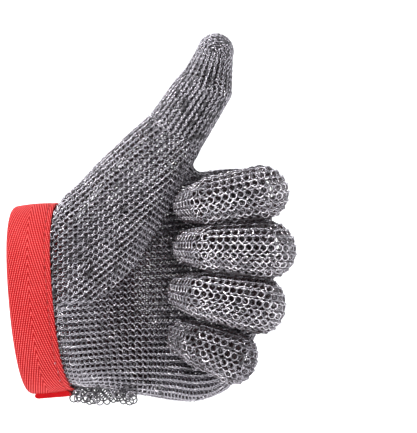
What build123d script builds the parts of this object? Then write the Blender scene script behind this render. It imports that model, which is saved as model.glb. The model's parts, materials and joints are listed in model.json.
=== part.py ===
from build123d import *
import math
import os

# Chain mail glove for the left hand, thumb up, fingers curled. Millimetres.
# +X points from the wrist to the fingers, +Z to the thumb, and the palm faces -Y.
# The origin is the centre of the wrist opening.

# ---- driving dimensions ----
MAIL = 1.2                # thickness of the ring mail
KNUCKLE_CLEARANCE = 0.4   # round the base of a finger
TRIM_GAP = 0.3            # clearance between neighbours across a joint
STEP_BACK = 5.0           # a knuckle that lies this much behind its neighbour makes a step in the hand's edge
FAR = 200.0               # larger than the glove, for trimming blocks

WRIST_DEPTH = 50.2        # outside of the mail edge, across Y
WRIST_HEIGHT = 80.8       # outside of the mail edge, along Z
WRIST_SQUARENESS = 2.2    # exponent of the wrist's oval
CUFF_YAW = 12.0           # degrees, how far the wrist axis leans to -Y
CUFF_PITCH = 5.0          # degrees, how far the wrist axis leans to +Z

BAND_WIDTH = 18.5
BAND_OUTER_LAYER = 1.2    # thickness of the webbing's outer layer
BAND_INNER_LAYER = 1.0
BAND_FOLD = 1.2           # webbing thickness at the folded rim
BAND_SLACK = 0.1          # between webbing and mail
MAIL_IN_BAND = 15.5       # how far the mail edge goes into the folded band
SLIT_WIDTH = 5.0
SLIT_ANGLE = -64.0        # degrees round the oval from the back, towards the little finger

TONGUE_THICK = 1.4
TONGUE_WIDTH = 16.0
TONGUE_LIFT = 1.3         # space between the band and the tongue, for the press stud
TONGUE_START = -82.0      # degrees round the oval, at the turning end
TONGUE_END = -21.0
ROOT_START = -97.0        # sewn end of the tongue
ROOT_END = -84.6

STUD_ANGLES = (-32.0, -11.5)    # the first holds the tongue, the second is the tighter size
STUD_POST_R = 1.5
STUD_FLANGE_R = 3.9
STUD_FLANGE = 0.45        # thickness
STUD_NECK_R = 2.0
STUD_HEAD_R = 2.5
STUD_NECK_TOP = 1.0       # height over the band
STUD_HEAD_TOP = 1.9
SOCKET_FLANGE_R = 4.4
SOCKET_FLANGE = 0.5
SOCKET_FLANGE_LOW = 0.6   # height over the band
SOCKET_BARREL_R = 3.4
SOCKET_BORE_R = 2.85
SOCKET_BORE_TOP = 2.1
CAP_R = 6.0
CAP_HEIGHT = 1.3
BACK_PLATE_R = 4.5
BACK_PLATE = 0.7
BACK_PLATE_DROP = 0.35    # clears the band's inner curve
FIT_GAP = 0.05            # between metal fittings and webbing

THROUGH = 10.0            # half the length of a drill for the studs' holes
STITCH_PITCH = 3.4
STITCH_LENGTH = 2.4
STITCH_WIDTH = 0.6
STITCH_HEIGHT = 0.35
STITCH_FROM_EDGE = 2.6
STITCH_LIFT = 0.06        # clears the band's outer curve
CUFF_STITCH_START = 0.0   # degrees round the oval, the row runs from the second stud
CUFF_STITCH_END = 258.0   # to the tongue's sewn end, past the thumb and the palm

# Outlines of the hand: x, y and z of the centre, half depth, half height, squareness.
HAND_SECTIONS = (
    (50.0, 4.5, 3.7, 17.5, 46.3, 2.3),
    (72.0, 10.2, 6.0, 11.9, 50.0, 2.8),
    (103.0, 8.5, 10.5, 14.2, 48.6, 4.8),
)
BACK_SPLIT_Y = 6.0        # where the palm mail meets the back mail

KNUCKLE_BEND = 84.0       # degrees, the fist's bend at each joint
MIDDLE_BEND = 104.0
TIP_BEND = 50.0

# Each finger: knuckle centre, tilt of its plane, lengths of its three stretches and radii
# at the base, at the middle joint, at the tip joint, after it and at the end.
FINGERS = {
    "index": dict(knuckle=(100.5, 8.0, 46.8), tilt=10.0, lengths=(39.0, 24.0, 14.0),
                  radii=(10.6, 12.15, 9.7, 8.1, 7.4)),
    "middle": dict(knuckle=(103.2, 9.0, 22.6), tilt=-1.5, lengths=(42.0, 26.0, 15.0),
                   radii=(10.6, 12.15, 9.8, 8.2, 7.6)),
    "ring": dict(knuckle=(101.2, 7.5, -1.5), tilt=-10.0, lengths=(39.0, 28.0, 15.0),
                 radii=(10.4, 11.95, 9.7, 8.1, 7.5)),
    "little": dict(knuckle=(91.0, 4.0, -24.6), tilt=-22.0, lengths=(31.0, 20.0, 13.0),
                   radii=(9.4, 10.95, 8.8, 7.2, 6.8)),
}

THUMB_ROOT = (65.4, -8.0, 75.0)
THUMB_JOINT = (78.6, -9.0, 94.5)
THUMB_END = (84.6, -9.5, 110.0)
THUMB_ROOT_R = 13.3
THUMB_SKIRT_START = 0.4
THUMB_SKIRT_SHIFT = (-1.8, 1.8)     # towards the palm and the thumb
THUMB_R = (11.7, 11.4, 9.8, 7.8)    # root dome, tip joint, tip dome, end
THUMB_ROOT_BEND = 35.0
THUMB_TIP_BEND = 60.0

PLEAT_OUTLINE = ((24.0, -37.0), (50.0, -40.0), (46.5, -45.2), (26.0, -45.2))    # x, z
PLEAT_Y = -3.0


# ---- helpers ----
def vec(v):
    """A tuple or vector as a Vector."""
    return v if isinstance(v, Vector) else Vector(*v)


def turned(direction, axis, degrees):
    """The direction turned about an axis through the origin."""
    return vec(direction).rotate(Axis((0, 0, 0), tuple(vec(axis))), degrees)


def half_space(point, outward, offset=0.0):
    """A block that fills the side of a plane that outward points to."""
    outward = vec(outward).normalized()
    base = vec(point) + outward * offset
    plane = Plane(origin=base, z_dir=outward)
    return Solid.extrude(Face.make_rect(2 * FAR, 2 * FAR, plane), outward * FAR)


def biggest(shape):
    """The largest solid of a shape, without slivers."""
    solids = [s for piece in shape for s in piece.solids()] if isinstance(shape, list) else shape.solids()
    return max(solids, key=lambda solid: solid.volume)


def cut(solid, *tools):
    """The solid without the tools' space, as one solid."""
    for tool in tools:
        solid = biggest(solid.cut(tool))
    return solid


def common(solid, tool):
    """The space that two solids share, as one solid."""
    return biggest(solid.intersect(tool))


def rod(start, end, radius_start, radius_end):
    """A round cone between two points, with a ball at each end."""
    start, end = vec(start), vec(end)
    run = end - start
    plane = Plane(origin=start, z_dir=run)
    if radius_start == radius_end:
        body = Solid.make_cylinder(radius_start, run.length, plane)
    else:
        body = Solid.make_cone(radius_start, radius_end, run.length, plane)
    ends = [Solid.make_sphere(r, Plane(origin=p)) for r, p in ((radius_start, start), (radius_end, end))]
    return biggest(body.fuse(*ends))


def hollow_rod(start, end, radius_start, radius_end):
    """A closed mail tube with a ball at each end."""
    inside = rod(start, end, radius_start - MAIL, radius_end - MAIL)
    return cut(rod(start, end, radius_start, radius_end), inside)


def trim(shell, joint, own, other, domed):
    """Opens a tube's end at a joint.

    own and other point from the joint along this stretch and along its neighbour at full bend.
    A domed end keeps the outer quarter of its ball, which slides inside or outside its neighbour.
    """
    own, other = vec(own).normalized(), vec(other).normalized()
    mitre = (other - own).normalized()
    if domed:
        wedge = common(half_space(joint, mitre, -TRIM_GAP), half_space(joint, other))
        return cut(shell, wedge)
    return cut(shell, half_space(joint, mitre, -TRIM_GAP), half_space(joint, own * -1, -TRIM_GAP))


def oval_points(half_y, half_z, squareness, count=24):
    """Points of a rounded oval, starting at its back (+Y) and turning towards +Z."""
    points = []
    for i in range(count):
        angle = 2 * math.pi * i / count
        cos, sin = math.cos(angle), math.sin(angle)
        reach = (abs(cos) ** squareness + abs(sin) ** squareness) ** (-1 / squareness)
        points.append((half_y * cos * reach, half_z * sin * reach))
    return points


def oval_wire(plane, half_y, half_z, squareness):
    """A closed smooth oval in a plane whose x is Y and whose y is Z."""
    points = [plane.from_local_coords((y, z)) for y, z in oval_points(half_y, half_z, squareness)]
    return Wire([Edge.make_spline(points, periodic=True)])


def section_plane(centre, normal):
    """A plane across the hand, with its x direction along +Y as nearly as it can be."""
    normal = vec(normal).normalized()
    return Plane(origin=centre, x_dir=Vector(0, 0, 1).cross(normal), z_dir=normal)


CUFF_AXIS = turned(turned((1, 0, 0), (0, 1, 0), -CUFF_PITCH), (0, 0, 1), -CUFF_YAW)


def cuff_plane(distance):
    """The plane across the wrist at a distance along its axis from the rim."""
    return section_plane(CUFF_AXIS * distance, CUFF_AXIS)


def oval_tube(start, length, inset_outer, inset_inner):
    """A tube round the wrist between two offsets from the mail's outer face."""
    plane = cuff_plane(start)
    blocks = []
    for inset in (inset_outer, inset_inner):
        wire = oval_wire(plane, WRIST_DEPTH / 2 + inset, WRIST_HEIGHT / 2 + inset, WRIST_SQUARENESS)
        blocks.append(Solid.extrude(Face(wire), CUFF_AXIS * length))
    return cut(*blocks)


def oval_place(degrees, offset, distance):
    """A point on the wrist's oval and the outward direction there."""
    def at(angle):
        a = math.radians(angle)
        n = WRIST_SQUARENESS
        reach = (abs(math.cos(a)) ** n + abs(math.sin(a)) ** n) ** (-1 / n)
        y = WRIST_DEPTH / 2 * math.cos(a) * reach
        z = WRIST_HEIGHT / 2 * math.sin(a) * reach
        return cuff_plane(distance).from_local_coords((y, z))
    along = (at(degrees + 0.5) - at(degrees - 0.5)).normalized()
    outward = along.cross(CUFF_AXIS).normalized()
    if outward.dot(at(degrees) - CUFF_AXIS * distance) < 0:
        outward = outward * -1
    return at(degrees) + outward * offset, outward, along


def sector(start, end):
    """A wedge about the wrist axis between two angles, wider and longer than the band."""
    plane = cuff_plane(-BAND_WIDTH)
    reach = 2 * WRIST_HEIGHT
    steps = 6
    corners = [(0.0, 0.0)]
    for i in range(steps + 1):
        point, _, _ = oval_place(start + (end - start) * i / steps, 0.0, 0.0)
        local = cuff_plane(0.0).to_local_coords(point)
        scale = reach / math.hypot(local.X, local.Y)
        corners.append((local.X * scale, local.Y * scale))
    wire = Wire.make_polygon([plane.from_local_coords(c) for c in corners], close=True)
    return Solid.extrude(Face(wire), CUFF_AXIS * 3 * BAND_WIDTH)


def disc(centre, outward, radius, low, high):
    """A disc about an outward direction, from low to high along it."""
    plane = Plane(origin=vec(centre) + vec(outward) * low, z_dir=outward)
    return Solid.make_cylinder(radius, high - low, plane)


# ---- hand ----
def hand_block(inset):
    """The filled shape of the hand from the wrist to past the knuckles."""
    start = cuff_plane(BAND_WIDTH + 1.0)
    wires = [oval_wire(start, WRIST_DEPTH / 2 - inset, WRIST_HEIGHT / 2 - inset, WRIST_SQUARENESS)]
    for x, y, z, half_y, half_z, squareness in HAND_SECTIONS:
        plane = section_plane((x, y, z), (1, 0, 0))
        wires.append(oval_wire(plane, half_y - inset, half_z - inset, squareness))
    return Solid.make_loft(wires)


def thumb_direction():
    """From the thumb's root towards its tip joint."""
    return (vec(THUMB_JOINT) - vec(THUMB_ROOT)).normalized()


def thumb_root_block(inset):
    """The filled skirt from the wrist to the thumb's root, a little proud of the palm from its start."""
    start = cuff_plane(BAND_WIDTH + 1.0 + THUMB_SKIRT_START)
    start = section_plane(start.from_local_coords(THUMB_SKIRT_SHIFT), CUFF_AXIS)
    end = section_plane(vec(THUMB_ROOT), thumb_direction())
    first = oval_wire(start, WRIST_DEPTH / 2 - inset, WRIST_HEIGHT / 2 - inset, WRIST_SQUARENESS)
    return Solid.make_loft([first, oval_wire(end, THUMB_ROOT_R - inset, THUMB_ROOT_R - inset, 2.0)])


def wrist_plug(inset):
    """The filled mail edge inside the band."""
    plane = cuff_plane(BAND_WIDTH - MAIL_IN_BAND)
    wire = oval_wire(plane, WRIST_DEPTH / 2 - inset, WRIST_HEIGHT / 2 - inset, WRIST_SQUARENESS)
    return Solid.extrude(Face(wire), CUFF_AXIS * (MAIL_IN_BAND + 1.0))


def finger_heading(finger, bend):
    """The direction of a finger's stretch that is bent this far from straight."""
    tilt = math.radians(finger["tilt"])
    straight = Vector(math.cos(tilt), 0, math.sin(tilt))
    return turned(straight, straight.cross(Vector(0, 1, 0)), -bend)


def lane_edge(upper, lower):
    """Where the rooms of two neighbouring fingers meet."""
    if upper["knuckle"][0] - lower["knuckle"][0] > STEP_BACK:
        return upper["knuckle"][2] - upper["radii"][0] - KNUCKLE_CLEARANCE
    return (upper["knuckle"][2] + lower["knuckle"][2]) / 2


def knuckle_room(name):
    """The space that the hand's mail leaves for one finger's base to swing in."""
    finger = FINGERS[name]
    order = list(FINGERS)
    place = order.index(name)
    top = FAR
    bottom = -FAR
    if place > 0:
        top = lane_edge(FINGERS[order[place - 1]], finger)
    if place < len(order) - 1:
        bottom = lane_edge(finger, FINGERS[order[place + 1]])
    lane = Solid.make_box(FAR, FAR, top - bottom, Plane(origin=(0, -FAR / 2, bottom)))
    hand = Vector(-1, 0, 0)
    mitre = (finger_heading(finger, KNUCKLE_BEND) - hand).normalized()
    joint = finger["knuckle"]
    walls = (half_space(joint, hand * -1, -TRIM_GAP), half_space(joint, mitre, -TRIM_GAP))
    return [common(lane, wall) for wall in walls]


def hand_parts():
    """Palm mail, back mail and the mail of the thumb's root."""
    thumb_space = thumb_root_block(MAIL)
    shell = cut(hand_block(0.0), hand_block(MAIL))
    shell = biggest(shell.fuse(cut(wrist_plug(0.0), wrist_plug(MAIL))))
    shell = cut(shell, thumb_space)
    for name, finger in FINGERS.items():
        shell = cut(shell, *knuckle_room(name))
        radius = finger["radii"][0] + KNUCKLE_CLEARANCE
        for bend in (0.0, KNUCKLE_BEND):
            reach = vec(finger["knuckle"]) + finger_heading(finger, bend) * finger["lengths"][0]
            shell = cut(shell, rod(finger["knuckle"], reach, radius, radius))
    palm = cut(shell, half_space((0, BACK_SPLIT_Y, 0), (0, 1, 0)))
    back = cut(shell, half_space((0, BACK_SPLIT_Y, 0), (0, -1, 0)))
    root = cut(thumb_root_block(0.0), thumb_space, hand_block(-0.02))
    flexed = turned(thumb_direction(), (0, 1, 0), THUMB_ROOT_BEND)
    root = trim(root, THUMB_ROOT, thumb_direction() * -1, flexed, domed=False)
    return {"palm_mail": palm, "back_mail": back, "thumb_root": root}


def loose_pleat():
    """The slack fold of mail under the hand's edge beside the band."""
    corners = [(x, PLEAT_Y, z) for x, z in PLEAT_OUTLINE]
    sheet = Solid.extrude(Face(Wire.make_polygon(corners, close=True)), Vector(0, MAIL, 0))
    return cut(sheet, hand_block(-0.1))


# ---- fingers and thumb ----
def finger_line(finger):
    """The directions of a finger's three stretches and the four points that they join."""
    bends = (KNUCKLE_BEND, KNUCKLE_BEND + MIDDLE_BEND, KNUCKLE_BEND + MIDDLE_BEND + TIP_BEND)
    headings = [finger_heading(finger, bend) for bend in bends]
    joints = [vec(finger["knuckle"])]
    for heading, length in zip(headings, finger["lengths"]):
        joints.append(joints[-1] + heading * length)
    return headings, joints


def finger_parts(name):
    """Base, middle and tip mail of one finger."""
    finger = FINGERS[name]
    headings, joints = finger_line(finger)
    base_r, middle_r, middle_end_r, tip_r, end_r = finger["radii"]

    base = hollow_rod(joints[0], joints[1], base_r, base_r)
    base = trim(base, joints[0], headings[0], finger_heading(finger, 0) * -1, domed=True)
    base = trim(base, joints[1], headings[0] * -1, headings[1], domed=True)

    middle = hollow_rod(joints[1], joints[2], middle_r, middle_end_r)
    middle = trim(middle, joints[1], headings[1], headings[0] * -1, domed=False)
    middle = trim(middle, joints[2], headings[1] * -1, headings[2], domed=False)

    tip = hollow_rod(joints[2], joints[3], tip_r, end_r)
    tip = trim(tip, joints[2], headings[2], headings[1] * -1, domed=True)
    return {f"{name}_finger_base": base, f"{name}_finger_middle": middle, f"{name}_finger_tip": tip}


def thumb_parts():
    """Lower and tip mail of the thumb."""
    root, joint, end = vec(THUMB_ROOT), vec(THUMB_JOINT), vec(THUMB_END)
    root_r, joint_r, tip_r, end_r = THUMB_R
    lower_way = (joint - root).normalized()
    tip_way = (end - joint).normalized()
    hand_when_bent = turned(lower_way, (0, 1, 0), -THUMB_ROOT_BEND) * -1
    tip_when_bent = turned(tip_way, (0, 1, 0), THUMB_TIP_BEND)
    lower_when_bent = turned(lower_way, (0, 1, 0), -THUMB_TIP_BEND) * -1

    lower = hollow_rod(root, joint, root_r, joint_r)
    lower = trim(lower, root, lower_way, hand_when_bent, domed=True)
    lower = trim(lower, joint, lower_way * -1, tip_when_bent, domed=False)
    tip = hollow_rod(joint, end, tip_r, end_r)
    tip = trim(tip, joint, tip_way, lower_when_bent, domed=True)
    return {"thumb_lower": lower, "thumb_tip": tip}


# ---- wrist band ----
BAND_OUT = BAND_SLACK + BAND_OUTER_LAYER              # offset of the band's outer face
BAND_IN = -(MAIL + BAND_SLACK + BAND_INNER_LAYER)     # offset of its inner face
MID_BAND = BAND_WIDTH / 2
TONGUE_IN = BAND_OUT + TONGUE_LIFT
TONGUE_OUT = TONGUE_IN + TONGUE_THICK


def stud_place(angle):
    """Centre on the wrist oval and outward direction of a press stud."""
    point, outward, _ = oval_place(angle, 0.0, MID_BAND)
    return point, outward


def stitches(offset, distances, start, end):
    """A row of stitches round the wrist between two angles."""
    row = []
    for distance in distances:
        angle = start
        last = None
        while angle < end:
            point, outward, along = oval_place(angle, offset + STITCH_LIFT, distance)
            if last is None or (point - last).length >= STITCH_PITCH:
                plane = Plane(origin=point, x_dir=along, z_dir=outward)
                corner = plane.from_local_coords((-STITCH_LENGTH / 2, -STITCH_WIDTH / 2, 0))
                row.append(Solid.make_box(STITCH_LENGTH, STITCH_WIDTH, STITCH_HEIGHT,
                                          Plane(origin=corner, x_dir=along, z_dir=outward)))
                last = point
            angle += 0.25
    return Compound(row)


def band_parts():
    """The folded webbing band, its sewn tongue root and the stitching."""
    band = oval_tube(0.0, BAND_WIDTH, BAND_OUT, BAND_IN)
    half_slit = math.degrees(SLIT_WIDTH / 2 / (WRIST_HEIGHT / 2))
    band = cut(band, oval_tube(BAND_FOLD, BAND_WIDTH, BAND_SLACK, -MAIL - BAND_SLACK),
               sector(SLIT_ANGLE - half_slit, SLIT_ANGLE + half_slit))
    for angle in STUD_ANGLES:
        point, outward = stud_place(angle)
        band = cut(band, disc(point, outward, STUD_POST_R + FIT_GAP, -THROUGH, THROUGH))
    margin = (BAND_WIDTH - TONGUE_WIDTH) / 2
    root = common(oval_tube(margin, TONGUE_WIDTH, TONGUE_OUT, BAND_OUT + FIT_GAP),
                  sector(ROOT_START, ROOT_END))
    thread = stitches(BAND_OUT, (BAND_WIDTH - STITCH_FROM_EDGE,), CUFF_STITCH_START, CUFF_STITCH_END)
    return {"cuff_band": band, "tongue_root": root, "cuff_stitching": thread}


def tongue_parts():
    """The strap tongue that closes the slit, with its stitching."""
    margin = (BAND_WIDTH - TONGUE_WIDTH) / 2
    tongue = common(oval_tube(margin, TONGUE_WIDTH, TONGUE_OUT, TONGUE_IN),
                    sector(TONGUE_START, TONGUE_END))
    point, outward = stud_place(STUD_ANGLES[0])
    tongue = cut(tongue, disc(point, outward, SOCKET_BARREL_R + FIT_GAP, -THROUGH, THROUGH))
    rows = (margin + STITCH_FROM_EDGE, BAND_WIDTH - margin - STITCH_FROM_EDGE)
    thread = stitches(TONGUE_OUT, rows, TONGUE_START + 5.0, STUD_ANGLES[0] - 12.0)
    return {"strap_tongue": tongue, "tongue_stitching": thread}


def snap_parts():
    """Press studs and back plates on the band, socket and cap on the tongue."""
    studs = []
    plates = []
    low = BAND_IN - BACK_PLATE_DROP
    for angle in STUD_ANGLES:
        point, outward = stud_place(angle)
        stud = disc(point, outward, STUD_POST_R, low, BAND_OUT + FIT_GAP)
        stud = stud.fuse(disc(point, outward, STUD_FLANGE_R, BAND_OUT + FIT_GAP, BAND_OUT + STUD_FLANGE),
                         disc(point, outward, STUD_NECK_R, BAND_OUT, BAND_OUT + STUD_NECK_TOP),
                         disc(point, outward, STUD_HEAD_R, BAND_OUT + STUD_NECK_TOP, BAND_OUT + STUD_HEAD_TOP))
        studs.append(biggest(stud))
        plates.append(disc(point, outward, BACK_PLATE_R, low - BACK_PLATE, low))
    point, outward = stud_place(STUD_ANGLES[0])
    flange_low = BAND_OUT + SOCKET_FLANGE_LOW
    socket = disc(point, outward, SOCKET_FLANGE_R, flange_low, flange_low + SOCKET_FLANGE)
    socket = biggest(socket.fuse(disc(point, outward, SOCKET_BARREL_R, flange_low, TONGUE_OUT)))
    socket = cut(socket, disc(point, outward, SOCKET_BORE_R, 0, BAND_OUT + SOCKET_BORE_TOP))
    cap = disc(point, outward, CAP_R, TONGUE_OUT + FIT_GAP, TONGUE_OUT + CAP_HEIGHT)
    rim = [edge for edge in cap.edges() if (edge.center() - point).dot(outward) > TONGUE_OUT + CAP_HEIGHT / 2]
    cap = cap.fillet(CAP_HEIGHT * 0.6, rim)
    return {"snap_studs": Compound(studs), "snap_back_plates": Compound(plates),
            "snap_socket": socket, "snap_cap": biggest(cap)}


def build_parts():
    """All parts by name."""
    parts = hand_parts()
    for name in FINGERS:
        parts.update(finger_parts(name))
    parts.update(thumb_parts())
    parts["loose_pleat"] = loose_pleat()
    parts.update(band_parts())
    parts.update(tongue_parts())
    parts.update(snap_parts())
    # The mail edge inside the band is pierced by the press studs' posts.
    for angle in STUD_ANGLES:
        point, outward = stud_place(angle)
        hole = disc(point, outward, STUD_POST_R + FIT_GAP, -THROUGH, THROUGH)
        parts["back_mail"] = cut(parts["back_mail"], hole)
    return parts


def main():
    """Writes one STEP file for each part."""
    os.makedirs("parts", exist_ok=True)
    for name, shape in build_parts().items():
        export_step(shape, f"parts/{name}.step")


if __name__ == "__main__":
    main()
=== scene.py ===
import json
import math

import bmesh
import bpy
import numpy as np
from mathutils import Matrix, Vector
from mathutils.bvhtree import BVHTree


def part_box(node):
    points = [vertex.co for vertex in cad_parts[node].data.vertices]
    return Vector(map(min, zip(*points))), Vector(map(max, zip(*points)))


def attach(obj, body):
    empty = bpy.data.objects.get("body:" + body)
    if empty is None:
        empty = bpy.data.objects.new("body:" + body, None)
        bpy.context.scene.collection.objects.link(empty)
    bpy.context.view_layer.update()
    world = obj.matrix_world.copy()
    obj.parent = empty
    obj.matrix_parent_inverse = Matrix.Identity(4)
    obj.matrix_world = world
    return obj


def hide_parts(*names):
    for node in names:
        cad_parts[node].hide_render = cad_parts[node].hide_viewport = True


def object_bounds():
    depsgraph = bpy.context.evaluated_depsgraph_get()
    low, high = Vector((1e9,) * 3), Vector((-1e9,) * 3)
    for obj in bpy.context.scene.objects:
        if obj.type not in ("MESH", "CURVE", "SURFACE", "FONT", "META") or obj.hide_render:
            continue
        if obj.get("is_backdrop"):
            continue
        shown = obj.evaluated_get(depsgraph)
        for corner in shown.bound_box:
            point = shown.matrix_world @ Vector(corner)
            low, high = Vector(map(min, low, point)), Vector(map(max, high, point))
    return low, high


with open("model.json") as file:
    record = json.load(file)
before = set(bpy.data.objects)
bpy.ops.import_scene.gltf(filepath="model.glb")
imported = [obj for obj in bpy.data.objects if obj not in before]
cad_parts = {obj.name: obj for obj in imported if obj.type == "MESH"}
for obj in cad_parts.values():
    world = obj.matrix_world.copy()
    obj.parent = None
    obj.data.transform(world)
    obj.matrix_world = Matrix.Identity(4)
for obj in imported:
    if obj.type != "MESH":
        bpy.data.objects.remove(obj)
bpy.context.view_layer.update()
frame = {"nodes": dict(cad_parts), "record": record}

# Lengths below are in millimetres; they become metres where a mesh or a camera is made.
MM = 0.001
MOUNT = {m["name"]: m for m in frame["record"]["mounts"]}
JOINT = {j["name"]: j for j in frame["record"]["behaviour"]["joints"]}
FINGERS = ("index", "middle", "ring", "little")

# ---- ring mail ----
# Pitch of the rings in a row, distance between rows, how far even and odd rows lean in degrees, how much
# lower the odd rows lie, ring radius to the middle of its wire, wire radius, and shares of bright, plain and
# dull rings. Stretched mail shows one set of rings face on and the other on edge, a little lower; its shares
# are in FINGER_SHADES. Slack mail is pushed together; its rows follow from PALM_ROWS.
STRETCHED = dict(pitch=3.25, row=1.8, leans=(8, -52), sunk=0.5, ring=1.62, wire=0.26)
SLACK = dict(pitch=3.0, leans=(38, -48), sunk=0.2, ring=1.52, wire=0.32, shades=(0.08, 0.88, 0.04))
CLOSE = dict(pitch=2.7, row=1.35, leans=(38, -46), sunk=0.2, ring=1.45, wire=0.31, shades=(0.06, 0.88, 0.06))
DENSE = dict(pitch=2.4, row=1.12, leans=(42, -42), sunk=0.0, ring=1.42, wire=0.34, shades=(0.07, 0.87, 0.06))
LOOSE = dict(pitch=2.95, row=1.75, leans=(14, -22), sunk=0.0, ring=1.72, wire=0.32, shades=(0.0, 0.25, 0.75))
SNUG = dict(DENSE, shades=(0.02, 0.82, 0.16))
PALM_ROWS, BACK_ROWS = 74, 106
LEAN = math.radians(11)          # each ring lies a little on the next one of its row
LOOSENESS = math.radians(1)      # how far rings turn from their even places,
SCATTER = 0.02                   # and how far they lie from them
MOST_RINGS = 1150                # in one piece
INSET = 0.9                      # from the mail's outer face to the middle of its rings
ROUND = 14                       # corners round a ring
THICK = 6                        # corners round its wire
INWARD_SHADE = -0.15                     # a ring's faces that look outward by less than this look into the glove, and get painted shade
DEEPEST = 0.3                    # rings that lie deeper inside another stretch of mail are left out

# ---- wrist and hand ----
WRIST_HALF = (25.1, 40.4)
WRIST_SQUARENESS = 2.2
BAND_WIDTH = 18.5
SLIT = (-67.5, -60.5)     # degrees round the wrist
FREE = 6.0                # beyond the band the mail comes free, and uneven, over this length
TUCK = 1.6                # the mail's edge lies this much deeper, under the band
MAIL_EDGE = 14.5          # where the mail ends, under the band

rng = np.random.default_rng(11)


def unit(v):
    """Vectors of length one."""
    v = np.asarray(v, float)
    return v / np.linalg.norm(v, axis=-1, keepdims=True)


def place(joint):
    """A joint's point, in millimetres."""
    return np.array(JOINT[joint]["pos_m"]) / MM


def spin(v, axis, angle):
    """v turned about a unit axis by an angle, or by each of several angles."""
    angle = np.asarray(angle, float)[..., None]
    axis = unit(axis)
    along = (v @ axis)[..., None] * axis
    return along + (v - along) * np.cos(angle) + np.cross(axis, v) * np.sin(angle)


def run_along(line):
    """Length along a line of points, up to each of them."""
    return np.concatenate([[0], np.cumsum(np.linalg.norm(np.diff(line, axis=0), axis=1))])


# Waves 18 to 42 mm long, each with its way and its phase.
WAVES = [(unit(rng.normal(size=3)) * 2 * math.pi / rng.uniform(18, 42), rng.uniform(0, 6.28))
         for _ in range(9)]


def ripple(points):
    """Smooth unevenness of soft mail, from about -1 to 1."""
    return sum(np.sin(points @ wave + phase) for wave, phase in WAVES) / 3.0


# ---- materials ----
def material(name):
    """A new node material, with its node tree's helpers."""
    mat = bpy.data.materials.new(name)
    mat.use_nodes = True
    tree = mat.node_tree
    shader = tree.nodes["Principled BSDF"]

    def node(kind, **inputs):
        made = tree.nodes.new(kind)
        for key, value in inputs.items():
            key = key.replace("_", " ")
            if hasattr(value, "is_output"):
                tree.links.new(value, made.inputs[key])
            else:
                made.inputs[key].default_value = value
        return made

    def math_node(operation, first, second=None):
        made = tree.nodes.new("ShaderNodeMath")
        made.operation = operation
        for socket, value in zip(made.inputs, (first, second)):
            if value is None:
                continue
            if hasattr(value, "is_output"):
                tree.links.new(value, socket)
            else:
                socket.default_value = value
        return made.outputs[0]

    return mat, tree, shader, node, math_node


def steel(name, colour, roughness):
    """Polished, slightly worn wire."""
    mat, tree, shader, node, math_node = material(name)
    shader.inputs["Base Color"].default_value = (*colour, 1)
    shader.inputs["Metallic"].default_value = 1.0
    spot = node("ShaderNodeTexCoord").outputs["Object"]
    wear = node("ShaderNodeTexNoise", Vector=spot, Scale=900.0, Detail=3.0, Roughness=0.6)
    broad = node("ShaderNodeTexNoise", Vector=spot, Scale=70.0, Detail=2.0)
    fine_share, broad_share = 0.22, 0.16
    fine = math_node("MULTIPLY", wear.outputs["Fac"], fine_share)
    slow = math_node("MULTIPLY", broad.outputs["Fac"], broad_share)
    rough = math_node("ADD", math_node("ADD", fine, slow), roughness - (fine_share + broad_share) / 2)
    tree.links.new(rough, shader.inputs["Roughness"])
    bump = node("ShaderNodeBump", Height=wear.outputs["Fac"], Strength=0.25, Distance=0.00008)
    tree.links.new(bump.outputs["Normal"], shader.inputs["Normal"])
    return mat


STEELS = [
    steel("wire_bright", (0.70, 0.675, 0.72), 0.21),
    steel("wire_plain", (0.40, 0.383, 0.42), 0.26),
    steel("wire_dull", (0.14, 0.135, 0.145), 0.38),
]
INNER = steel("wire_inner", (0.10, 0.066, 0.070), 0.50)      # painted shade on the faces that look into the glove
# Rings inside the folds get this darker mix of steels: painted shade where the folds lie in shadow.
PAINTED_FOLD_SHADE = (0.0, 0.34, 0.66)      # shares of bright, plain and dull rings inside the folds


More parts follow.
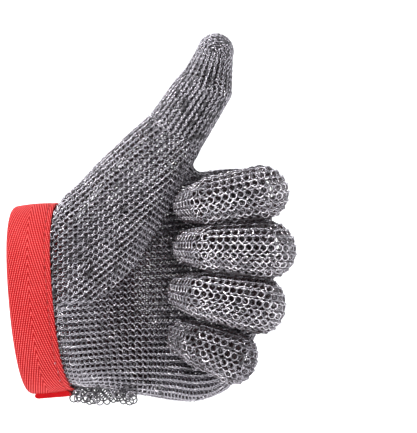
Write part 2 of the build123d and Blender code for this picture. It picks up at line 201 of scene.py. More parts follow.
def webbing(name, dark, middle, light):
    """Herringbone webbing; its UV map is the distance along and across the strap in metres times ten."""
    mat, tree, shader, node, math_node = material(name)
    uv = node("ShaderNodeUVMap")
    uv.uv_map = "weave"
    split = node("ShaderNodeSeparateXYZ", Vector=uv.outputs["UV"])
    to_mm = 100.0
    stripe_width, rib_period, pick_period = 11.0, 1.05, 0.95
    rib_way = (0.28, 0.96)      # a rib rises by this much along and across the strap
    along = math_node("MULTIPLY", split.outputs["X"], to_mm)
    across = math_node("MULTIPLY", split.outputs["Y"], to_mm)
    fold = math_node("PINGPONG", across, stripe_width)
    rise_along, rise_across = (math_node("MULTIPLY", v, rise) for v, rise in zip((along, fold), rib_way))
    diagonal = math_node("ADD", rise_along, rise_across)
    rib = math_node("SINE", math_node("MULTIPLY", diagonal, 2 * math.pi / rib_period))
    weft = math_node("SINE", math_node("MULTIPLY", along, 2 * math.pi / pick_period))
    knot = math_node("MULTIPLY", math_node("ADD", rib, 1.0), math_node("ADD", weft, 1.0))
    low = math_node("ADD", math_node("MULTIPLY", knot, 0.13), 0.30)
    height = math_node("ADD", math_node("MULTIPLY", rib, 0.20), low)
    spot = node("ShaderNodeTexCoord").outputs["Object"]
    cloud = node("ShaderNodeTexNoise", Vector=spot, Scale=55.0, Detail=3.0)
    fuzz = node("ShaderNodeTexNoise", Vector=spot, Scale=2600.0, Detail=2.0)
    clouds = math_node("MULTIPLY", cloud.outputs["Fac"], 0.16)
    # The colour follows the weave's height: raised ribs and knots lighter, the grooves darker, painted
    # highlight and painted shade, with random clouds and fuzz.
    tone = math_node("ADD", math_node("MULTIPLY", height, 0.86), clouds)
    tone = math_node("ADD", tone, math_node("MULTIPLY", fuzz.outputs["Fac"], 0.10))
    ramp = node("ShaderNodeValToRGB", Fac=tone)
    ramp.color_ramp.elements[0].position = 0.22
    ramp.color_ramp.elements[0].color = (*dark, 1)
    ramp.color_ramp.elements[1].position = 0.95
    ramp.color_ramp.elements[1].color = (*light, 1)
    ramp.color_ramp.elements.new(0.5).color = (*middle, 1)
    tree.links.new(ramp.outputs["Color"], shader.inputs["Base Color"])
    shader.inputs["Roughness"].default_value = 0.8
    shader.inputs["Specular IOR Level"].default_value = 0.22
    shader.inputs["Sheen Weight"].default_value = 0.02
    shader.inputs["Sheen Roughness"].default_value = 0.5
    shader.inputs["Sheen Tint"].default_value = (1.0, 0.45, 0.4, 1)
    raised = math_node("ADD", height, math_node("MULTIPLY", fuzz.outputs["Fac"], 0.25))
    bump = node("ShaderNodeBump", Height=raised, Strength=0.9, Distance=0.0003)
    tree.links.new(bump.outputs["Normal"], shader.inputs["Normal"])
    return mat


RED = webbing("red_webbing", (0.28, 0.0, 0.001), (0.60, 0.004, 0.009), (0.94, 0.17, 0.165))
# The inside gets a dark copy of the webbing: painted shade inside the glove.
RED_INSIDE = webbing("red_webbing_inside", (0.03, 0.001, 0.001), (0.09, 0.003, 0.004), (0.14, 0.02, 0.02))


def thread_material():
    """Twisted sewing thread."""
    mat, tree, shader, node, _ = material("red_thread")
    spot = node("ShaderNodeTexCoord").outputs["Object"]
    twist = node("ShaderNodeTexWave", Vector=spot, Scale=900.0, Distortion=1.5)
    # The twist's grooves are darker and its ridges lighter: painted shade and painted highlight.
    ramp = node("ShaderNodeValToRGB", Fac=twist.outputs["Fac"])
    ramp.color_ramp.elements[0].color = (0.20, 0.004, 0.006, 1)
    ramp.color_ramp.elements[1].color = (0.62, 0.025, 0.025, 1)
    tree.links.new(ramp.outputs["Color"], shader.inputs["Base Color"])
    shader.inputs["Roughness"].default_value = 0.6
    bump = node("ShaderNodeBump", Height=twist.outputs["Fac"], Strength=0.6, Distance=0.0001)
    tree.links.new(bump.outputs["Normal"], shader.inputs["Normal"])
    return mat


THREAD = thread_material()


def nickel_material():
    """Nickel plate with fine scratches and dull spots."""
    mat, tree, shader, node, math_node = material("nickel_plate")
    shader.inputs["Base Color"].default_value = (0.62, 0.61, 0.59, 1)
    shader.inputs["Metallic"].default_value = 1.0
    spot = node("ShaderNodeTexCoord").outputs["Object"]
    scratch = node("ShaderNodeTexNoise", Vector=spot, Scale=1500.0, Detail=4.0)
    cloud = node("ShaderNodeTexNoise", Vector=spot, Scale=160.0, Detail=2.0)
    rough = math_node("ADD", math_node("MULTIPLY", cloud.outputs["Fac"], 0.25), 0.08)
    tree.links.new(rough, shader.inputs["Roughness"])
    bump = node("ShaderNodeBump", Height=scratch.outputs["Fac"], Strength=0.15, Distance=0.00005)
    tree.links.new(bump.outputs["Normal"], shader.inputs["Normal"])
    return mat


NICKEL = nickel_material()


# ---- meshes ----
def new_object(name, verts, quads, materials, indices=None, body="hand", stands_for=()):
    """A smooth mesh from arrays in millimetres, riding on a body in place of CAD nodes."""
    mesh = bpy.data.meshes.new(name)
    mesh.vertices.add(len(verts))
    mesh.vertices.foreach_set("co", (np.asarray(verts, np.float32) * MM).ravel())
    quads = np.asarray(quads, np.int32)
    mesh.loops.add(quads.size)
    mesh.loops.foreach_set("vertex_index", quads.ravel())
    mesh.polygons.add(len(quads))
    mesh.polygons.foreach_set("loop_start", np.arange(len(quads), dtype=np.int32) * 4)
    mesh.polygons.foreach_set("use_smooth", np.ones(len(quads), bool))
    for mat in materials:
        mesh.materials.append(mat)
    if indices is not None:
        mesh.polygons.foreach_set("material_index", np.asarray(indices, np.int32))
    mesh.update(calc_edges=True)
    mesh.validate()
    obj = bpy.data.objects.new(name, mesh)
    bpy.context.scene.collection.objects.link(obj)
    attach(obj, body)
    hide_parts(*stands_for)
    return obj


def mail(name, points, outward, along, odd, body, stands_for, weave, unevenness=0.4, folded=None):
    """Rings that overlap like mail, on a surface.

    points are their places, outward is the surface's direction there and along the way of their rows; odd
    says which rings lie in odd rows, and folded which lie inside a fold and get darker steels, painted shade.
    """
    if len(points) > MOST_RINGS:
        order = np.argsort(points[:, 0])
        for k, part in enumerate(np.array_split(order, math.ceil(len(points) / MOST_RINGS))):
            mail(f"{name}_{k + 1}", points[part], outward[part], along[part], odd[part], body, stands_for,
                 weave, unevenness, None if folded is None else folded[part])
        return
    outward = unit(outward)
    along = unit(along - (along * outward).sum(1, keepdims=True) * outward)
    across = np.cross(outward, along)
    free = np.clip((points @ CUFF_AXIS - BAND_WIDTH) / FREE, 0, 1)      # nothing pushes through the band
    points = points + outward * (unevenness * free * ripple(points) - TUCK * (1 - free))[:, None]
    count = len(points)
    even_lean, odd_lean = weave["leans"]
    tilt = np.radians(np.where(odd, odd_lean, even_lean)) + rng.normal(0, LOOSENESS, count)
    lean = LEAN + rng.normal(0, LOOSENESS, count)
    points = points - outward * (weave["sunk"] * odd)[:, None] + rng.normal(0, SCATTER, (count, 3))
    axis = unit(outward * np.cos(tilt)[:, None] + across * np.sin(tilt)[:, None]
                + along * np.sin(lean)[:, None])
    first = unit(np.cross(axis, along))
    second = np.cross(axis, first)
    a = 2 * math.pi * np.arange(ROUND) / ROUND
    b = 2 * math.pi * np.arange(THICK) / THICK
    spoke = first[:, None] * np.cos(a)[None, :, None] + second[:, None] * np.sin(a)[None, :, None]
    reach, rise = weave["ring"] + weave["wire"] * np.cos(b), weave["wire"] * np.sin(b)
    verts = (points[:, None, None] + spoke[:, :, None] * reach[None, None, :, None]
             + axis[:, None, None] * rise[None, None, :, None])
    i, j = np.meshgrid(np.arange(ROUND), np.arange(THICK), indexing="ij")
    i2, j2 = (i + 1) % ROUND, (j + 1) % THICK
    one = np.stack([i * THICK + j, i2 * THICK + j, i2 * THICK + j2, i * THICK + j2], -1).reshape(-1, 4)
    quads = (one[None] + (np.arange(count) * ROUND * THICK)[:, None, None]).reshape(-1, 4)
    shades = rng.choice(len(STEELS), count, p=weave["shades"])
    # Rings inside a fold take the darker fold mix: painted shade.
    if folded is not None:
        shades = np.where(folded, rng.choice(len(STEELS), count, p=PAINTED_FOLD_SHADE), shades)
    middle_a, middle_b = a + math.pi / ROUND, b + math.pi / THICK
    facing_first, facing_second, facing_axis = ((v * outward).sum(1)[:, None] for v in (first, second, axis))
    spoke_facing = facing_first * np.cos(middle_a) + facing_second * np.sin(middle_a)
    facing = spoke_facing[:, :, None] * np.cos(middle_b) + facing_axis[:, :, None] * np.sin(middle_b)
    # Faces that look into the glove get the dark inner steel: painted shade.
    shades = np.where(facing < INWARD_SHADE, len(STEELS), shades[:, None, None]).ravel()
    return new_object(name, verts.reshape(-1, 3), quads, STEELS + [INNER], shades, body, stands_for)


# ---- surfaces of the wrist, the hand and the thumb's skirt ----
CUFF_AXIS = -unit(MOUNT["wrist_opening"]["axis"])
CUFF_Y = unit(np.cross((0, 0, 1), CUFF_AXIS))
CUFF_Z = np.cross(CUFF_AXIS, CUFF_Y)


def oval(angles, half_y, half_z, squareness):
    """Local y and z of a rounded oval at angles from +y towards +z."""
    cos, sin = np.cos(angles), np.sin(angles)
    reach = (np.abs(cos) ** squareness + np.abs(sin) ** squareness) ** (-1 / squareness)
    return half_y * cos * reach, half_z * sin * reach


def wrist(degrees, offset, distance):
    """Point on the wrist's oval, pushed outward by an offset, and the outward direction."""
    a, step = np.radians(degrees), 0.005

    def at(angle):
        y, z = oval(angle, *WRIST_HALF, WRIST_SQUARENESS)
        return y[..., None] * CUFF_Y + z[..., None] * CUFF_Z

    along = unit(at(a + step) - at(a - step))
    outward = np.cross(along, CUFF_AXIS)
    outward *= np.sign((outward * at(a)).sum(-1, keepdims=True))
    spot = at(a) + outward * np.asarray(offset)[..., None] + np.asarray(distance)[..., None] * CUFF_AXIS
    return spot, outward


def curve_through(knots, values, at):
    """Smooth interpolation through rows of values."""
    knots, values, at = np.asarray(knots, float), np.asarray(values, float), np.asarray(at, float)
    slopes = np.gradient(values, knots, axis=0)
    i = np.clip(np.searchsorted(knots, at) - 1, 0, len(knots) - 2)
    width = knots[i + 1] - knots[i]
    t = (at - knots[i]) / width
    shape = (-1,) + (1,) * (values.ndim - 1)
    t, width = t.reshape(shape), width.reshape(shape)
    return (values[i] * (2 * t ** 3 - 3 * t ** 2 + 1) + slopes[i] * width * (t ** 3 - 2 * t ** 2 + t)
            + values[i + 1] * (3 * t ** 2 - 2 * t ** 3) + slopes[i + 1] * width * (t ** 3 - t ** 2))


INSIDE_BAND = (5.0, 12.0, 20.0)      # distances along the wrist of the hand's first outlines
# Outlines across the hand: x, y and z of the centre, half depth, half height, squareness.
HAND = (
    (50.0, 4.5, 4.2, 17.5, 45.8, 2.3),
    (72.0, 9.6, 5.2, 12.4, 50.0, 2.8),
    (88.0, 9.3, 6.3, 12.4, 51.5, 3.8),
    (101.5, 8.0, 7.6, 11.3, 50.1, 4.3),
    (105.0, 8.0, 7.6, 9.3, 48.6, 4.0),
    (107.5, 8.0, 7.6, 6.0, 46.0, 3.5),
    (108.5, 8.0, 7.6, 2.0, 42.0, 3.0),
)
HAND_START, KNUCKLES_X, KNUCKLES_Y = 50.0, 101.5, 8.0
KNUCKLES = np.array([(84.0, 4.0, -44.0)] + [place(f"{name}_knuckle") for name in reversed(FINGERS)]
                    + [(100.0, 8.0, 58.0)])
ARCHED = (60.0, 100.0)      # over this stretch the outlines come to lie at the knuckles' own depths
AROUND = np.radians(np.arange(360))


def hand_grid(fine=260):
    """Points of the hand's surface, by sections from inside the band to past the knuckles, and by angles."""
    rows, knots = [], []
    for distance in INSIDE_BAND:
        y, z = oval(AROUND, WRIST_HALF[0] - INSET, WRIST_HALF[1] - INSET, WRIST_SQUARENESS)
        rows.append(y[:, None] * CUFF_Y + z[:, None] * CUFF_Z + distance * CUFF_AXIS)
        knots.append(distance)
    for x, y0, z0, half_y, half_z, squareness in HAND:
        y, z = oval(AROUND, max(half_y - INSET, 0.6), half_z - INSET, squareness)
        y, z = y + y0, z + z0
        share = np.interp(x, ARCHED, (0, 1))
        end_x = np.interp(z, KNUCKLES[:, 2], KNUCKLES[:, 0])
        end_y = np.interp(z, KNUCKLES[:, 2], KNUCKLES[:, 1])
        reach = HAND_START + (x - HAND_START) * (end_x - HAND_START) / (KNUCKLES_X - HAND_START)
        rows.append(np.stack([reach, y + share * (end_y - KNUCKLES_Y), z], -1))
        knots.append(x)
    return curve_through(knots, rows, np.linspace(knots[0], knots[-1], fine))


def evenly(line, places):
    """Indices, with fractions, of places along a closed line given as shares of its length."""
    length = run_along(np.vstack([line, line[:1]]))
    return np.interp(np.asarray(places) * length[-1], length, np.arange(len(line) + 1))


def pick(grid, u, v):
    """Points of a grid at fractional places, round in v."""
    u = np.clip(u, 0, len(grid) - 1.001)
    a, b = u.astype(int), np.floor(v).astype(int)
    s, t = (u - a)[:, None], (v - b)[:, None]
    b, b2 = b % grid.shape[1], (b + 1) % grid.shape[1]
    return ((grid[a, b] * (1 - t) + grid[a, b2] * t) * (1 - s)
            + (grid[a + 1, b] * (1 - t) + grid[a + 1, b2] * t) * s)


def solid(grid, inside):
    """A search tree of a grid's faces, and the sign that makes depths on a point's side of them positive."""
    m, n = grid.shape[:2]
    faces = [(i * n + j, (i + 1) * n + j, (i + 1) * n + (j + 1) % n, i * n + (j + 1) % n)
             for i in range(m - 1) for j in range(n)]
    tree = BVHTree.FromPolygons([tuple(p) for p in grid.reshape(-1, 3)], faces)
    spot, normal, _, _ = tree.find_nearest(Vector(inside))
    return tree, 1.0 if (Vector(inside) - spot).dot(normal) > 0 else -1.0


def depth_under(surface, points):
    """How far each point lies under a surface of solid's."""
    tree, sign = surface
    depths = []
    for p in points:
        spot, normal, _, _ = tree.find_nearest(Vector(p))
        depths.append(sign * (Vector(p) - spot).dot(normal))
    return np.array(depths)


def grid_frames(grid, u, v):
    """Places on a grid with the outward direction and the direction along the rows."""
    step, turn = 0.6, 1.5
    ahead, behind = (np.clip(u + way * step, 0, len(grid) - 1.01) for way in (1, -1))
    along = pick(grid, ahead, v) - pick(grid, behind, v)
    round_way = pick(grid, u, v + turn) - pick(grid, u, v - turn)
    return pick(grid, u, v), unit(np.cross(round_way, along)), along


THUMB_ROOT = place("thumb_root_joint")
THUMB_JOINT = place("thumb_tip_joint")
THUMB_WAY = unit(THUMB_JOINT - THUMB_ROOT)
THUMB_SIDE = unit(np.cross((0, 0, 1), THUMB_WAY))
THUMB_UP = np.cross(THUMB_WAY, THUMB_SIDE)
THUMB_SHIFT = np.array([1.5, 0.0, 0.0])      # the thumb's middle line lies a little beside its joints
SKIRT_START, SKIRT_END = 17.0, 13.6          # distance along the wrist, and radius at the thumb's root
SKIRT_TUCK = (1.8, 1.0)                      # the skirt starts this much inside the wrist's oval, in y and z
GATHER, GATHERED = 0.36, (20.0, 36.0)        # the band gathers the mail by this share, over this stretch
CREASE, CREASED = 0.28, (48.0, 60.0)         # and so does the fist, in the palm
# Palm rings from FOLD on, between FOLD_EDGES, get the darker fold steels: painted shade under the curled
# fingers.
FOLD = (58.0, 70.0)                          # the curled fingers hide the palm from here on,
FOLD_EDGES = (-34, 50)                       # between these heights


def skirt_lines():
    """Both ends of the lines of the skirt that runs from the wrist to the thumb's root."""
    y, z = oval(AROUND, WRIST_HALF[0] - INSET, WRIST_HALF[1] - INSET, WRIST_SQUARENESS)
    y, z = y - SKIRT_TUCK[0], z - SKIRT_TUCK[1]
    start = y[:, None] * CUFF_Y + z[:, None] * CUFF_Z + SKIRT_START * CUFF_AXIS
    y, z = oval(AROUND, SKIRT_END - INSET, SKIRT_END - INSET, 2.0)
    return start, THUMB_ROOT + THUMB_SHIFT + y[:, None] * THUMB_SIDE + z[:, None] * THUMB_UP


def hand_mail():
    """Mail of the back and the palm, less what lies inside the thumb's skirt."""
    grid = hand_grid()
    start, end = skirt_lines()
    skirt_grid = start[None] + np.linspace(0, 1, 40)[:, None, None] * (end - start)[None]
    skirt = solid(skirt_grid[:, ::3], (40.0, -6.0, 40.0))
    steps = np.linalg.norm(np.diff(grid, axis=0), axis=2).mean(1)
    length = np.concatenate([[0], np.cumsum(steps)])
    quarter = 90      # rows are counted from the hand's lower edge, a quarter turn before +y
    for name, first_share, rows, weave in (("back", 0.0, BACK_ROWS, DENSE), ("palm", 0.5, PALM_ROWS, SLACK)):
        stations = [1.0]
        while stations[-1] < length[-1] - weave["pitch"]:
            gather = np.interp(stations[-1], GATHERED, (1 - GATHER, 1.0))
            if name == "palm":
                gather *= np.interp(stations[-1], CREASED, (1.0, 1 - CREASE))
            stations.append(stations[-1] + weave["pitch"] * gather)
        row, station = (m.ravel() for m in np.meshgrid(np.arange(rows), stations, indexing="ij"))
        odd = row % 2 == 1
        u = np.interp(station + np.where(odd, weave["pitch"] / 2, 0), length, np.arange(len(length)))
        places = first_share + 0.5 * (np.arange(rows) + 0.5) / rows
        shares = np.array([evenly(np.roll(line, quarter, axis=0), places) - quarter for line in grid])
        v = np.array([np.interp(a, np.arange(len(grid)), shares[:, b]) for a, b in zip(u, row)])
        points, outward, along = grid_frames(grid, u, v)
        keep = depth_under(skirt, points) < DEEPEST
        keep |= points @ CUFF_AXIS < SKIRT_START + 0.5
        keep &= points @ CUFF_AXIS > MAIL_EDGE
        # Palm rings under the curled fingers get the darker fold steels at random, more of them further on:
        # painted shade.
        folded = rng.uniform(size=len(points)) < np.interp(points[:, 0], FOLD, (0, 1))
        folded &= (name == "palm") & (points[:, 2] > FOLD_EDGES[0]) & (points[:, 2] < FOLD_EDGES[1])
        mail(f"{name}_mail", points[keep], outward[keep], along[keep], odd[keep], "hand", [f"{name}_mail"],
             weave, 0.4, folded[keep])


def skirt_mail():
    """Mail of the skirt round the thumb's base, front and rear, less what lies inside the hand."""
    hand = solid(hand_grid()[::4, ::3], (70.0, 9.0, 0.0))
    start, end = skirt_lines()
    low, high = (start @ THUMB_WAY).min(), (end @ THUMB_WAY).mean()
    last = 179.4      # past here a ring would lie on the seam between front and rear
    for side, name, weave in ((1, "front", CLOSE), (-1, "rear", DENSE)):
        order = (90 + side * np.arange(181)) % 360
        points, outward, along, odd = [], [], [], []
        for k, station in enumerate(np.arange(high - 1.0, low, -weave["pitch"] / 2)):
            share = (station - start @ THUMB_WAY) / ((end - start) @ THUMB_WAY)
            line = start + share[:, None] * (end - start)
            steps = np.linalg.norm(np.roll(line, -1, axis=0) - line, axis=1)
            run = np.concatenate([[0], np.cumsum(steps[order[:180]])])
            for row in range(k % 2, int(run[-1] / weave["row"]), 2):
                at = np.interp((row + 0.5) * weave["row"], run, np.arange(181))
                if at > last:
                    continue
                a, t = int(at), at - int(at)
                s = share[order[a]] * (1 - t) + share[order[a + 1]] * t
                if not 0.0 <= s <= 1.0:
                    continue
                round_way = side * (line[order[a + 1]] - line[order[a]])
                way = end[order[a]] - start[order[a]]
                points.append(line[order[a]] * (1 - t) + line[order[a + 1]] * t)
                outward.append(np.cross(round_way, way))
                along.append(way)
                odd.append(row % 2 == 1)
        points, outward, along, odd = map(np.array, (points, outward, along, odd))
        keep = depth_under(hand, points) < DEEPEST
        nodes = ["thumb_root"] if side > 0 else []
        mail(f"thumb_base_{name}_mail", points[keep], outward[keep], along[keep], odd[keep], "hand", nodes,
             weave)


# ---- fingers and thumb ----
def tube(points, radii, sides, arcs, weave, depth=1.0):
    """Ring places on one stretch: a tube between two points with part balls over its ends.

    sides are the outer side of the bend and the hinge axis; arcs are the angles that the stretch covers round
    its first and its last point, on the outer side or, below zero, the inner side, or "cap" for a closed end;
    depth is the tube's thickness from the outer to the inner side, as a share of its breadth.
    """
    start, end = points
    outer, hinge = sides
    way = unit(end - start)
    length = np.linalg.norm(end - start)
    forward = np.sign(np.cross(hinge, outer) @ way)
    rows = 2 * round(math.pi * (radii[0] + radii[1]) / 2 * (1 + depth) / 2 / weave["row"])
    least_reach = 0.05      # rows nearer to the hinge's own line get no part ball
    spots, normals, ways, odd = [], [], [], []

    def add(spot, normal, direction, row):
        spots.append(spot)
        normals.append(normal)
        ways.append(direction)
        odd.append(row % 2 == 1)

    stations = max(2, round(length / weave["pitch"]))
    for row in range(rows):
        angle = 2 * math.pi * (row + 0.5) / rows
        reach = depth * math.cos(angle)
        side = reach * outer + math.sin(angle) * hinge
        normal = unit(math.cos(angle) / depth * outer + math.sin(angle) * hinge)
        phase = 0.75 if row % 2 else 0.25
        for k in range(stations):
            t = (k + phase) / stations
            add(start + way * length * t + side * (radii[0] + (radii[1] - radii[0]) * t), normal, way, row)
        for centre, radius, arc, sign in ((start, radii[0], arcs[0], -1), (end, radii[1], arcs[1], 1)):
            closed = arc == "cap"
            if not closed and reach * np.sign(arc) <= least_reach:
                continue
            arc = math.pi / 2 * np.sign(reach) if closed else arc
            number = round(radius * abs(reach * arc) / weave["pitch"])
            for k in range(number):
                turn = sign * forward * arc * (k + (1 - phase if sign < 0 else phase)) / number
                turned_side, turned_normal, turned_way = (spin(v, hinge, turn) for v in (side, normal, way))
                add(centre + turned_side * radius, turned_normal, turned_way, row)
    return [np.array(x) for x in (spots, normals, ways, odd)]


# Outer radii at the knuckle, at the middle joint, at the tip joint and at the end, the length past the tip
# joint, and the depth as a share of the breadth.
FINGER_SIZES = {
    "index": (12.0, 12.4, 10.6, 8.4, 14.0, 1.0),
    "middle": (12.2, 12.8, 10.8, 8.6, 15.0, 0.98),
    "ring": (12.0, 12.4, 10.6, 8.4, 15.0, 0.82),
    "little": (11.0, 11.6, 9.8, 7.8, 13.0, 0.76),
}
# Shares of bright, plain and dull rings on each finger; the little finger's darker mix is painted shade,
# where less light reaches it.
FINGER_SHADES = {
    "index": (0.42, 0.58, 0.0),
    "middle": (0.5, 0.5, 0.0),
    "ring": (0.5, 0.5, 0.0),
    "little": (0.12, 0.66, 0.22),
}
BENDS = tuple(math.radians(d) for d in (84, 104, 50))
# A finger's rings lie in a fold where they face the palm, or the finger beside it, by this share. Rings in a
# fold get darker steels: painted shade.
FACES_PALM, FACES_FINGER = 0.2, 0.86


def finger_mail(name):
    """Mail over the base, the middle and the tip of one finger."""
    first, second, third = (place(f"{name}_{joint}") for joint in ("knuckle", "middle_joint", "tip_joint"))
    hinge = unit(JOINT[f"{name}_knuckle"]["axis"])
    tip_way = spin(unit(third - second), hinge, -BENDS[2])
    knuckle_r, middle_r, tip_r, end_r, length, depth = FINGER_SIZES[name]
    weave = dict(STRETCHED, shades=FINGER_SHADES[name])
    knuckle_r, middle_r, tip_r, end_r = (r - INSET for r in (knuckle_r, middle_r, tip_r, end_r))
    end = third + tip_way * length

    ways = [unit(second - first), unit(third - second), tip_way]
    stretches = (
        ("base", (first, second), (knuckle_r, middle_r), (BENDS[0], BENDS[1])),
        ("middle", (second, third), (middle_r, tip_r), (0.0, 0.0)),
        ("tip", (third, end), (tip_r - 0.1, end_r), (BENDS[2], "cap")),
    )
    for way, (part, points, radii, arcs) in zip(ways, stretches):
        outer = np.cross(hinge, way)
        rings = tube(points, radii, (outer, hinge), arcs, weave, depth)
        normals = rings[1]
        # Rings that face the palm, or the next finger, get the darker fold steels: painted shade.
        folded = normals @ outer < -FACES_PALM
        if name != "index":
            folded |= normals[:, 2] > FACES_FINGER
        if name != "little":
            folded |= normals[:, 2] < -FACES_FINGER
        mail(f"{name}_{part}_mail", *rings, f"{name}_{part}", [f"{name}_finger_{part}"], weave, 0.15, folded)


# Outer radii at the thumb's root, below and above its tip joint, and at its end.
THUMB_SIZES = (13.4, 12.0, 11.9, 8.0)
THUMB_TIP_WAY = unit((4.4, -0.5, 15.5))


def thumb_mail():
    """Mail over the lower part and the tip of the thumb."""
    hinge = np.array([0.0, 1.0, 0.0])
    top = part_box("thumb_tip")[1][2] / MM
    root, joint = THUMB_ROOT + THUMB_SHIFT, THUMB_JOINT + THUMB_SHIFT
    end = joint + THUMB_TIP_WAY * ((top - THUMB_SIZES[-1] - joint[2]) / THUMB_TIP_WAY[2])
    root_r, below_r, above_r, end_r = (size - INSET for size in THUMB_SIZES)
    for name, points, radii, way, arcs in (
            ("thumb_lower", (root, joint), (root_r, below_r), THUMB_WAY, (0.55, -0.36)),
            ("thumb_tip", (joint, end), (above_r, end_r), THUMB_TIP_WAY, (0.95, "cap"))):
        side = unit(hinge - (hinge @ way) * way)
        rings = tube(points, radii, (np.cross(way, side), side), arcs, SNUG)
        mail(f"{name}_mail", *rings, name, [name], SNUG, 0.3)


def pleat_mail():
    """The slack fold of mail under the hand's edge, beside the band, as two layers that wave."""
    low, high = (np.array(corner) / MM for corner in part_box("loose_pleat"))
    rows, longest_row = 6, 10
    layers = (-2.2, 2.4)      # where they lie across the fold
    spots, outward, odd = [], [], []
    for layer, depth in enumerate(layers):
        for row in range(rows):
            for k in range(longest_row):
                x = low[0] - 3.0 + LOOSE["pitch"] * (k + (0.5 if row % 2 else 0)) + 1.3 * layer
                z = low[2] + 1.2 + LOOSE["row"] * row + 0.9 * math.sin(x * 0.33 + 2.0 * layer)
                if x < high[0] - 1.0 - 0.5 * row:
                    spots.append((x, low[1] + 0.6 + depth + 1.1 * math.sin(x * 0.5 + layer), z))
                    outward.append((rng.normal(0, 0.25), -1.0, rng.normal(0, 0.25)))
                    odd.append(row % 2 == 1)
    spots, outward = np.array(spots), np.array(outward)
    along = np.tile([1.0, 0.0, 0.0], (len(spots), 1))
    mail("loose_pleat_mail", spots, outward, along, np.array(odd), "hand", ["loose_pleat"], LOOSE, 0.3)


def web_mail():
    """Mail over the web between the thumb's root and the index finger, round a ridge that both share."""
    depth, half_width, middle = 4.0, 5.0, THUMB_ROOT[1] + 4.5
    ridge = np.array([(73.2, 61.8), (73.9, 58.2), (76.6, 56.0), (81.5, 55.5)])
    fine = curve_through(np.arange(4.0), ridge, np.linspace(0, 3, 61))
    run = run_along(fine)
    slope = np.gradient(fine, run, axis=0)
    rows = round(math.pi * math.hypot(depth, half_width) / math.sqrt(2) / SNUG["row"])
    spots, outward, along, odd = [], [], [], []
    for row in range(rows):
        turn = math.pi * ((row + 0.5) / rows - 0.5)
        for station in np.arange(0.3 + (row % 2) * SNUG["pitch"] / 2, run[-1], SNUG["pitch"]):
            x, z = (np.interp(station, run, fine[:, k]) for k in (0, 1))
            way_x, way_z = (np.interp(station, run, slope[:, k]) for k in (0, 1))
            way = unit((way_x, 0.0, way_z))
            out = np.array([-way[2], 0.0, way[0]])
            crest = np.array([x, middle + half_width * math.sin(turn), z])
            spots.append(crest - out * depth * (1 - math.cos(turn)))
            outward.append(out * math.cos(turn) / depth + np.array([0.0, math.sin(turn) / half_width, 0.0]))
            along.append(way)
            odd.append(row % 2 == 1)
    mail("thumb_web_mail", *map(np.array, (spots, outward, along, odd)), "hand", [], SNUG, 0.2)


# ---- webbing ----
SHADED_INSIDE = -1.5             # the band's faces that lie deeper than this offset are its inside, in painted shade
STRAP_EDGES = (1.3, 17.2)
GROOVE = 16.4             # the stitched groove near the band's edge
STITCH_PITCH = 3.1


def strap(name, degrees, profile, body, nodes):
    """A webbing strap round the wrist: a closed profile of (distance, offset) swept between two angles."""
    degrees = np.asarray(degrees, float)
    profile = np.asarray(profile, float)
    count = len(profile)
    rows = []
    for distance, offset in profile:
        points, _ = wrist(degrees, np.full(len(degrees), offset), np.full(len(degrees), distance))
        rows.append(points)
    grid = np.stack(rows, 1)
    middle = wrist(degrees, np.zeros(len(degrees)), np.full(len(degrees), BAND_WIDTH / 2))[0]
    along, across = run_along(middle), run_along(np.vstack([profile, profile[:1]]))
    quads, uvs, inside = [], [], []
    for i in range(len(degrees) - 1):
        for j in range(count):
            k = (j + 1) % count
            inside.append(profile[j, 1] < SHADED_INSIDE and profile[k, 1] < SHADED_INSIDE)
            quads.append((i * count + j, i * count + k, (i + 1) * count + k, (i + 1) * count + j))
            uvs.append(((along[i], across[j]), (along[i], across[j + 1]), (along[i + 1], across[j + 1]),
                        (along[i + 1], across[j])))
    # The inside faces take the dark copy of the webbing: painted shade.
    materials = [RED, RED_INSIDE] if any(inside) else [RED]
    obj = new_object(name, grid.reshape(-1, 3), quads, materials, inside, body, nodes)
    flat = np.array(uvs, np.float32).reshape(-1, 2)
    weave = obj.data.uv_layers.new(name="weave")
    weave.data.foreach_set("uv", (flat * MM * 10).ravel())
    bake = obj.data.uv_layers.new(name="OFBake")
    bake.data.foreach_set("uv", (flat / np.array([along[-1], across[-1]])).astype(np.float32).ravel())
    # Both cut ends are closed by a face round the profile.
    bm = bmesh.new()
    bm.from_mesh(obj.data)
    bm.verts.ensure_lookup_table()
    for first in (0, (len(degrees) - 1) * count):
        loop = [bm.verts[first + j] for j in range(count)]
        bm.faces.new(loop if first else loop[::-1])
    bmesh.ops.recalc_face_normals(bm, faces=bm.faces)
    bm.to_mesh(obj.data)
    bm.free()


def band_profile():
    """Outline of the folded band: its outer layer, the rim's fold and its inner layer."""
    points = [(18.6, 0.35), (18.75, 0.75), (18.5, 1.15), (17.6, 1.45)]
    points += [(GROOVE + 0.5, 1.3), (GROOVE, 0.95), (GROOVE - 0.5, 1.3), (15.0, 1.6)]
    points += [(d, 1.5 + 0.35 * math.sin(math.pi * d / 16)) for d in np.arange(14.0, 0.9, -1.0)]
    centre, radius = -0.4, 1.95
    points += [(0.6 - radius * math.cos(t), centre + radius * math.sin(t)) for t in np.linspace(1.2, -1.2, 9)]
    points += [(d, -2.3 - 0.1 * math.sin(d)) for d in np.arange(2.0, 18.1, 1.0)]
    points += [(18.4, -1.9), (18.2, -1.3), (17.0, -1.25), (10.0, -1.25)]
    points += [(2.0, -1.2), (1.4, -0.6), (2.0, 0.1), (10.0, 0.15)]
    return points


def strap_profile(bottom, top):
    """Outline of a flat strap with round edges."""
    middle, half = (bottom + top) / 2, (top - bottom) / 2
    low, high = STRAP_EDGES[0] + half, STRAP_EDGES[1] - half
    turns = np.linspace(0.5, 2.6, 5)
    points = [(d, top) for d in np.linspace(high, low, 16)]
    points += [(low - half * math.sin(t), middle + half * math.cos(t)) for t in turns]
    points += [(d, bottom) for d in np.linspace(low, high, 16)]
    points += [(high + half * math.sin(t), middle - half * math.cos(t)) for t in turns]
    return points


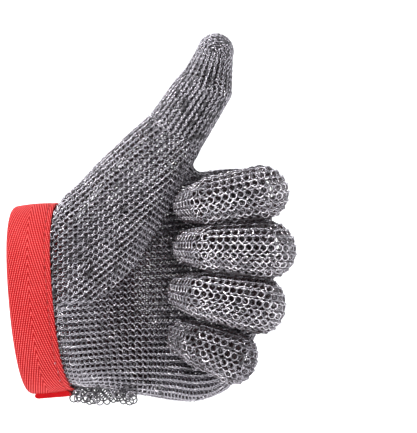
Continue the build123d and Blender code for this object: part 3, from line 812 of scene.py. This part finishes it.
def stitch_row(name, degrees, distances, offset, body, nodes, length=2.3, thickness=0.32):
    """Sewn stitches along the wrist: short threads that dive into the webbing at both ends."""
    verts, quads = [], []
    around, steps = 6, 9
    for distance in distances:
        fine = np.arange(degrees[0], degrees[1], 0.1)
        line, outward = wrist(fine, np.full(len(fine), offset), np.full(len(fine), distance))
        run = run_along(line)
        for start in np.arange(0.4, run[-1] - length, STITCH_PITCH):
            slant = rng.uniform(-0.12, 0.12)
            for i in range(steps):
                t = i / (steps - 1)
                at = np.interp(start + t * length, run, np.arange(len(run)))
                k = int(at)
                rise = 0.30 * math.sin(math.pi * t) - 0.12
                centre = line[k] + (line[min(k + 1, len(line) - 1)] - line[k]) * (at - k)
                centre = centre + outward[k] * rise + CUFF_AXIS * slant * (t - 0.5) * 2
                size = thickness * (0.55 + 0.45 * math.sin(math.pi * t))
                for j in range(around):
                    a = 2 * math.pi * j / around
                    verts.append(centre + outward[k] * size * math.cos(a) + CUFF_AXIS * size * math.sin(a))
            base = len(verts) - steps * around
            for i in range(steps - 1):
                for j in range(around):
                    k = (j + 1) % around
                    quads.append((base + i * around + j, base + i * around + k,
                                  base + (i + 1) * around + k, base + (i + 1) * around + j))
    new_object(name, verts, quads, [THREAD], None, body, nodes)


def cuff():
    """The wrist band, its tongue and their stitching."""
    round_way = np.arange(SLIT[1], 360 + SLIT[0] + 0.1, 1.5)
    strap("wrist_band", round_way, band_profile(), "hand", ["cuff_band"])
    sewn, free = np.arange(-97.0, -84.5, 1.0), np.arange(-82.0, -20.9, 1.0)
    stitched = (SLIT[1] + 2, 360 + SLIT[0] - 2)
    stitch_row("band_stitching", stitched, (GROOVE,), 1.05, "hand", ["cuff_stitching"])
    strap("strap_sewn_end", sewn, strap_profile(1.45, 3.9), "hand", ["tongue_root"])
    strap("strap", free, strap_profile(2.7, 4.0), "strap", ["strap_tongue"])
    stitch_row("strap_stitching", (-78.0, -46.0), (3.6, 14.9), 4.0, "strap", ["tongue_stitching"])
    for node in ("snap_studs", "snap_back_plates", "snap_socket", "snap_cap"):
        obj = frame["nodes"][node]
        obj.data.materials.clear()
        obj.data.materials.append(NICKEL)


hand_mail()
skirt_mail()
for finger in FINGERS:
    finger_mail(finger)
thumb_mail()
pleat_mail()
web_mail()
cuff()


# ---- floor, light and camera, in metres ----
HALF_STAGE = 9.0
FLOOR_DROP = 0.06         # the open strap hangs this far below the glove, at most
RISE_RADIUS = 1.5         # of the curve from the floor up to a backdrop


def floor_material():
    """A pale floor that glows softly away from the object."""
    mat, tree, shader, node, _ = material("pale_floor")
    shader.inputs["Base Color"].default_value = (0.93, 0.93, 0.93, 1)
    shader.inputs["Roughness"].default_value = 0.9
    shader.inputs["Emission Color"].default_value = (0.97, 0.985, 1, 1)
    spot = node("ShaderNodeTexCoord").outputs["Object"]
    length = node("ShaderNodeVectorMath", Vector=spot)
    length.operation = "LENGTH"
    glow = node("ShaderNodeMapRange", Value=length.outputs["Value"])
    for socket, value in (("From Min", 0.25), ("From Max", 1.6), ("To Min", 0.28), ("To Max", 0.86)):
        glow.inputs[socket].default_value = value
    tree.links.new(glow.outputs["Result"], shader.inputs["Emission Strength"])
    return mat


def strip(name, line, turn, mat):
    """A wide strip of floor or backdrop along a line of (distance, height), turned about z."""
    cos, sin = math.cos(turn), math.sin(turn)
    verts = [(x * cos - y * sin, x * sin + y * cos, z) for y, z in line for x in (-HALF_STAGE, HALF_STAGE)]
    faces = [(2 * i, 2 * i + 1, 2 * i + 3, 2 * i + 2) for i in range(len(line) - 1)]
    mesh = bpy.data.meshes.new(name)
    mesh.from_pydata(verts, [], faces)
    for face in mesh.polygons:
        face.use_smooth = True
    mesh.materials.append(mat)
    obj = bpy.data.objects.new(name, mesh)
    bpy.context.scene.collection.objects.link(obj)
    obj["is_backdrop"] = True


def stage():
    """A pale floor, clear of the open strap, that curves up into a backdrop behind and beside the object."""
    floor_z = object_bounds()[0][2] - FLOOR_DROP
    mat = floor_material()

    def rise(start):
        curve = [(start + RISE_RADIUS * math.sin(t), floor_z + RISE_RADIUS * (1 - math.cos(t)))
                 for t in np.linspace(0, math.pi / 2, 13)]
        return curve + [(start + RISE_RADIUS, floor_z + 7.0)]

    strip("floor", [(-8.0, floor_z)] + rise(3.0), 0.0, mat)
    strip("side_backdrop", rise(5.0), math.pi / 2, mat)


def area_light(name, place_m, target, size, power):
    """A soft square light aimed at a point."""
    data = bpy.data.lights.new(name, "AREA")
    data.size, data.energy = size, power
    light = bpy.data.objects.new(name, data)
    light.location = place_m
    light.rotation_euler = (Vector(target) - Vector(place_m)).to_track_quat("-Z", "Y").to_euler()
    bpy.context.scene.collection.objects.link(light)


stage()
CENTRE = (0.06, 0.0, 0.03)
area_light("key", (-0.30, -0.62, 1.0), CENTRE, 0.28, 11.5)
area_light("fill", (0.9, -0.9, 0.35), CENTRE, 0.30, 2.4)
area_light("top", (0.10, 0.10, 1.1), CENTRE, 0.4, 5)
world = bpy.data.worlds.new("studio")
world.use_nodes = True
world.node_tree.nodes["Background"].inputs["Color"].default_value = (1, 1, 1, 1)
world.node_tree.nodes["Background"].inputs["Strength"].default_value = 0.08
bpy.context.scene.world = world
bpy.context.scene.view_settings.view_transform = "Standard"

camera_data = bpy.data.cameras.new("camera")
camera_data.lens = 374.0
camera = bpy.data.objects.new("camera", camera_data)
camera.location = (0.0813, -2.0, 0.0371)
camera.rotation_euler = (math.radians(90), 0, 0)
bpy.context.scene.collection.objects.link(camera)
bpy.context.scene.camera = camera
